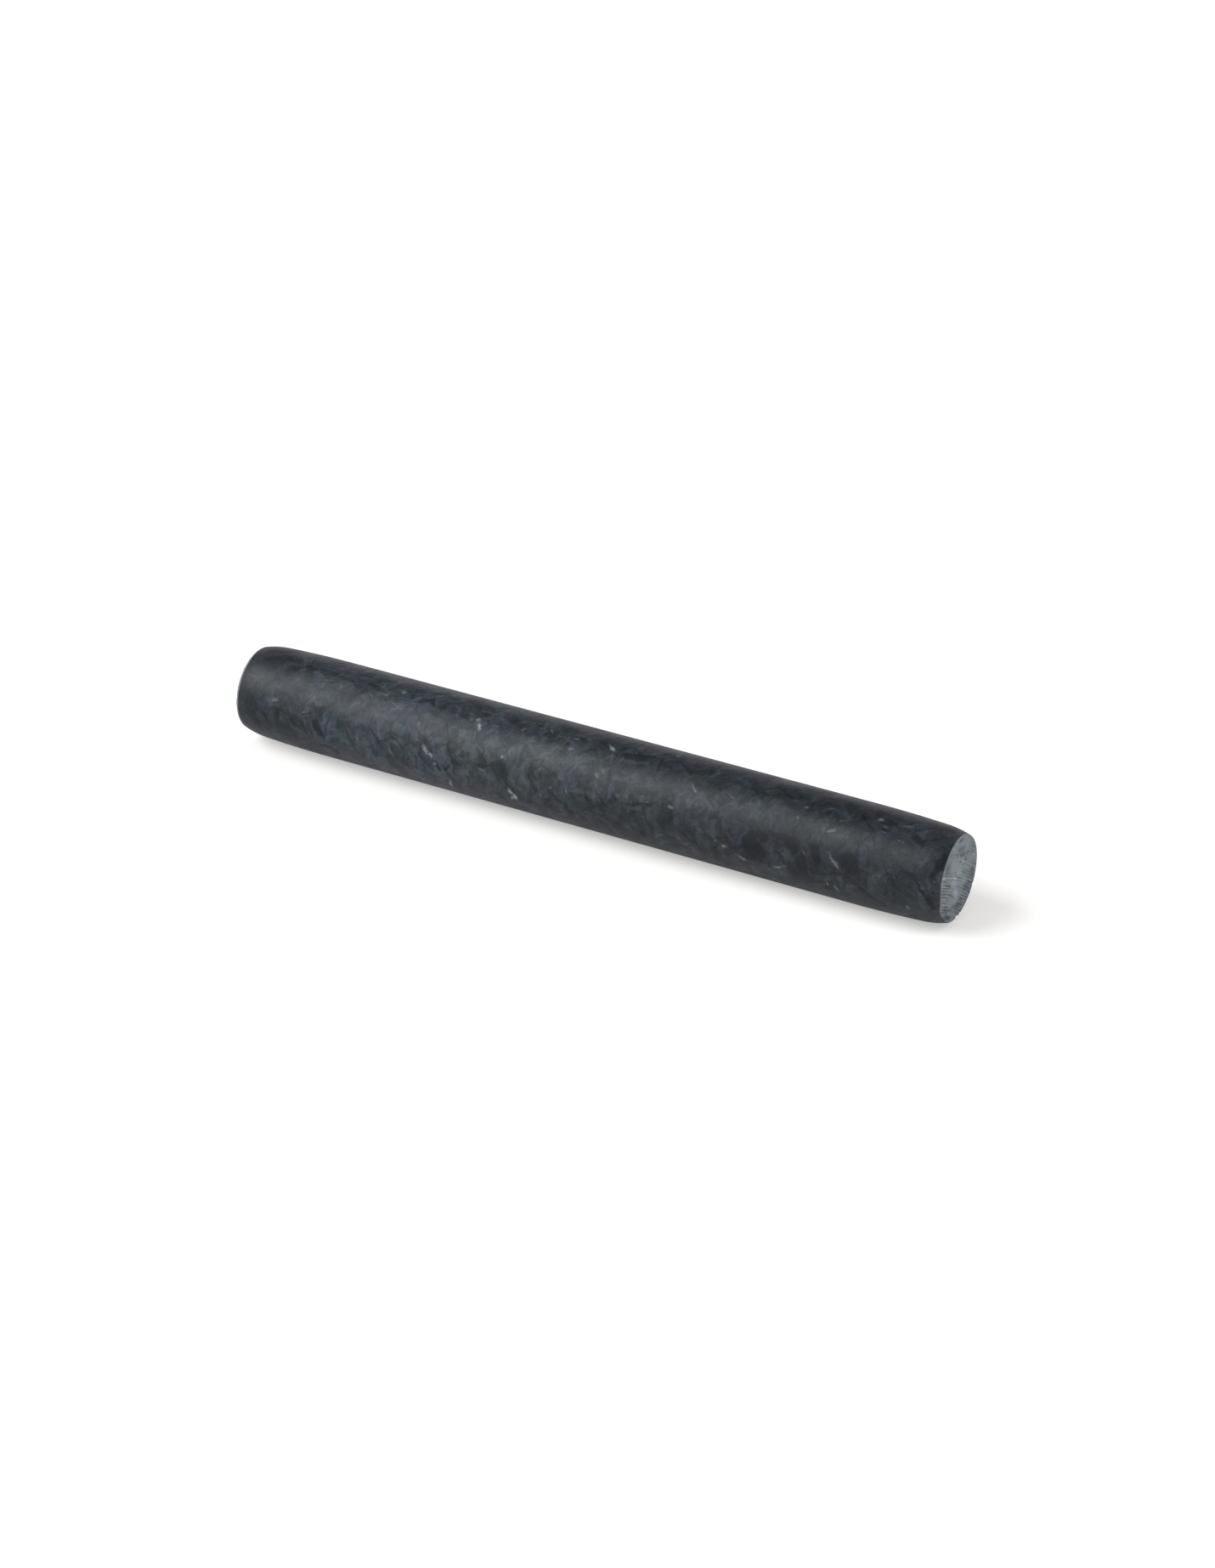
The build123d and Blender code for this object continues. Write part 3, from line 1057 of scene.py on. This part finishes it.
def marble_material(name, low, high, sawn):
    """One stretch of honed dark marble, or the last few millimetres with the sawn end."""
    material = bpy.data.materials.new(name)
    material.use_nodes = True
    tree = material.node_tree
    tree.nodes.clear()
    g = Graph(tree)
    stone = Stone(g)
    colour = stone_colour(g, stone, low, high)
    polish = g.ramp(g.noise(stone.place, *POLISH_NOISE), *POLISH_RAMP, smooth=False)
    if sawn:
        near = as_near_face(g, stone.place)
        nudge = g.vector("SUBTRACT", stone.nudged, stone.place)
        nudged = g.vector("ADD", near, g.scaled(nudge, FACE_NUDGE))
        cover = dust_cover(g, stone, near, nudged)
        colour = g.mix(cover, colour, dust_colour(g, stone, near, nudged))
        polish = g.math("ADD", polish, g.math("MULTIPLY", cover, DUST_ROUGHER), clamp=True)
    grain = g.noise(stone.place, *GRAIN_NOISE)
    bump_inputs = {"Height": grain, "Strength": GRAIN_STRENGTH, "Distance": GRAIN_HEIGHT}
    bump = g.add("ShaderNodeBump", bump_inputs)
    shader = g.add(
        "ShaderNodeBsdfPrincipled",
        {
            "Base Color": colour,
            "Roughness": polish,
            "Normal": bump.outputs[0],
            "Specular IOR Level": SHEEN_LEVEL,
        },
    )
    g.add("ShaderNodeOutputMaterial", {"Surface": shader.outputs[0]})
    return material


def add_marble(mesh):
    """Shares the bar's faces out between stretches, so that each material draws only its own marks."""
    end = HALF_LENGTH / MM
    inner = end - END_ZONE
    step = 2 * inner / STRETCHES
    borders = [-inner + step * i for i in range(STRETCHES + 1)]
    mesh.materials.append(marble_material("marble_left_end", -end, -inner, True))
    for i in range(STRETCHES):
        mesh.materials.append(marble_material(f"marble_{i + 1}", borders[i], borders[i + 1], False))
    mesh.materials.append(marble_material("marble_right_end", inner, end, True))
    centres = np.zeros(len(mesh.polygons) * 3)
    mesh.polygons.foreach_get("center", centres)
    places = centres.reshape(-1, 3)[:, 0] / MM
    mesh.polygons.foreach_set("material_index", np.searchsorted(borders, places).astype(np.int32))


def build_bar():
    """The finished bar, which stands for the solid."""
    bar = bpy.data.objects.new("marble_bar", bar_mesh())
    bpy.context.collection.objects.link(bar)
    add_marble(bar.data)
    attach(bar, "root")
    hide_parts(NODE)


# Studio floor: a pale sheet that shows white to the camera
FLOOR_HALF = 6.0
FLOOR_COLOUR = (0.79, 0.77, 0.74, 1)
FLOOR_SHADE = 0.985                      # its faint clouds, as a share of its colour
FLOOR_CLOUD_NOISE = (0.4, 2.0, 0.5)      # with its size in metres
FLOOR_SEEN = (0.765, 0.735, 0.695, 1)    # its colour as the camera sees it
FLOOR_GLOW = 0.38                        # the light that the camera sees it give off
FLOOR_GLOSS_SHARE = 0.1                  # how much of that look the bar's gloss sees too

# Studio surround: pale low down and dim overhead, by the height of the direction
SURROUND_LOW = 1.10
SURROUND_HIGH = 0.28
SURROUND_HEIGHTS = (0.05, 0.50)
SURROUND_COLOUR = (0.99, 0.995, 1.045, 1)

# Key light: one broad soft light, above and in front of the bar and to its left
LIGHT_FROM = Vector((-0.74, -0.52, 0.74))
LIGHT_STRENGTH = 3.10
LIGHT_COLOUR = (0.965, 1.0, 1.020)
LIGHT_SPREAD = math.radians(50)

# Fill light: a small card at the right of the bar
FILL_PLACE = Vector((0.45, 0.02, 0.27))
FILL_AIM = Vector((0.19, 0.01, 0.02))
FILL_STRENGTH = 0.42
FILL_SIZE = 0.24


def floor_material():
    """Pale matt floor. The camera sees it end in white, with the bar's shadow kept light on it."""
    material = bpy.data.materials.new("studio_floor")
    material.use_nodes = True
    tree = material.node_tree
    tree.nodes.clear()
    g = Graph(tree)
    path = g.add("ShaderNodeLightPath").outputs
    seen = g.math("MAXIMUM", path["Is Camera Ray"], path["Is Transmission Ray"])
    seen = g.math("MAXIMUM", seen, g.math("MULTIPLY", path["Is Glossy Ray"], FLOOR_GLOSS_SHARE))
    clouds = g.noise(g.add("ShaderNodeTexCoord").outputs["Object"], *FLOOR_CLOUD_NOISE)
    shade = tuple(part * FLOOR_SHADE for part in FLOOR_COLOUR[:3]) + (1,)
    pale = g.mix(clouds, FLOOR_COLOUR, shade)
    shaded = g.add("ShaderNodeBsdfDiffuse", {"Color": g.mix(seen, pale, FLOOR_SEEN)})
    glow_level = g.math("MULTIPLY", seen, FLOOR_GLOW)
    glow = g.add("ShaderNodeEmission", {"Color": (1, 1, 1, 1), "Strength": glow_level})
    both = g.add("ShaderNodeAddShader", {0: shaded.outputs[0], 1: glow.outputs[0]})
    g.add("ShaderNodeOutputMaterial", {"Surface": both.outputs[0]})
    return material


def build_floor():
    """A large flat sheet at the level that the bar rests on."""
    half = FLOOR_HALF
    corners = [(-half, -half, 0), (half, -half, 0), (half, half, 0), (-half, half, 0)]
    mesh = bpy.data.meshes.new("studio_floor")
    mesh.from_pydata(corners, [], [(0, 1, 2, 3)])
    floor = bpy.data.objects.new("studio_floor", mesh)
    bpy.context.collection.objects.link(floor)
    mesh.materials.append(floor_material())


def build_world():
    """White to the camera. For the bar, a surround that is bright low down and dim overhead."""
    world = bpy.data.worlds.new("studio")
    bpy.context.scene.world = world
    world.use_nodes = True
    tree = world.node_tree
    tree.nodes.clear()
    g = Graph(tree)
    height = g.part(g.add("ShaderNodeTexCoord").outputs["Generated"], 2)
    level = g.ramp(height, *SURROUND_HEIGHTS, SURROUND_LOW, SURROUND_HIGH)
    around = g.add("ShaderNodeBackground", {"Color": SURROUND_COLOUR, "Strength": level})
    white = g.add("ShaderNodeBackground", {"Color": (1, 1, 1, 1), "Strength": 1.0})
    to_camera = g.add("ShaderNodeLightPath").outputs["Is Camera Ray"]
    both = g.add("ShaderNodeMixShader", {0: to_camera, 1: around.outputs[0], 2: white.outputs[0]})
    g.add("ShaderNodeOutputWorld", {"Surface": both.outputs[0]})


def build_light(name, kind, energy, place, towards):
    """A lamp that shines from a place along the line that leads from it to the bar."""
    light = bpy.data.lights.new(name, kind)
    light.energy = energy
    light.color = LIGHT_COLOUR
    lamp = bpy.data.objects.new(name, light)
    bpy.context.collection.objects.link(lamp)
    lamp.location = place
    lamp.rotation_euler = (place - towards).to_track_quat("Z", "X").to_euler()
    return light


def build_lights():
    """The broad key light, and a fill that opens the shadow at the foot of the near end face."""
    key = build_light("key_light", "SUN", LIGHT_STRENGTH, LIGHT_FROM, Vector((0, 0, 0)))
    key.angle = LIGHT_SPREAD
    fill = build_light("fill_light", "AREA", FILL_STRENGTH, FILL_PLACE, FILL_AIM)
    fill.size = FILL_SIZE


# Camera: it looks along the line that the photograph was taken on, from the photograph's distance
CAMERA_AZIMUTH = math.radians(29.15)
CAMERA_ELEVATION = math.radians(29.44)
CAMERA_DISTANCE = 1.9407
CAMERA_LENS = 89.14    # mm
CAMERA_SENSOR = 36     # mm
CAMERA_SIDEWAYS = 6.9 * MM
CAMERA_UPWARDS = -2.5 * MM


def build_camera():
    """The photograph's viewpoint, without tilt or shift."""
    back = Vector(
        (
            math.sin(CAMERA_AZIMUTH) * math.cos(CAMERA_ELEVATION),
            -math.cos(CAMERA_AZIMUTH) * math.cos(CAMERA_ELEVATION),
            math.sin(CAMERA_ELEVATION),
        )
    )
    right = Vector((math.cos(CAMERA_AZIMUTH), math.sin(CAMERA_AZIMUTH), 0))
    up = back.cross(right)
    aim = Vector((0, 0, AXIS_HEIGHT)) + right * CAMERA_SIDEWAYS + up * CAMERA_UPWARDS
    data = bpy.data.cameras.new("photo_camera")
    data.lens = CAMERA_LENS
    data.sensor_width = CAMERA_SENSOR
    camera = bpy.data.objects.new("photo_camera", data)
    bpy.context.collection.objects.link(camera)
    camera.location = aim + back * CAMERA_DISTANCE
    camera.rotation_euler = Matrix((right, up, back)).transposed().to_euler()
    bpy.context.scene.camera = camera


build_bar()
build_floor()
build_world()
build_lights()
build_camera()
bpy.context.scene.view_settings.view_transform = "Standard"
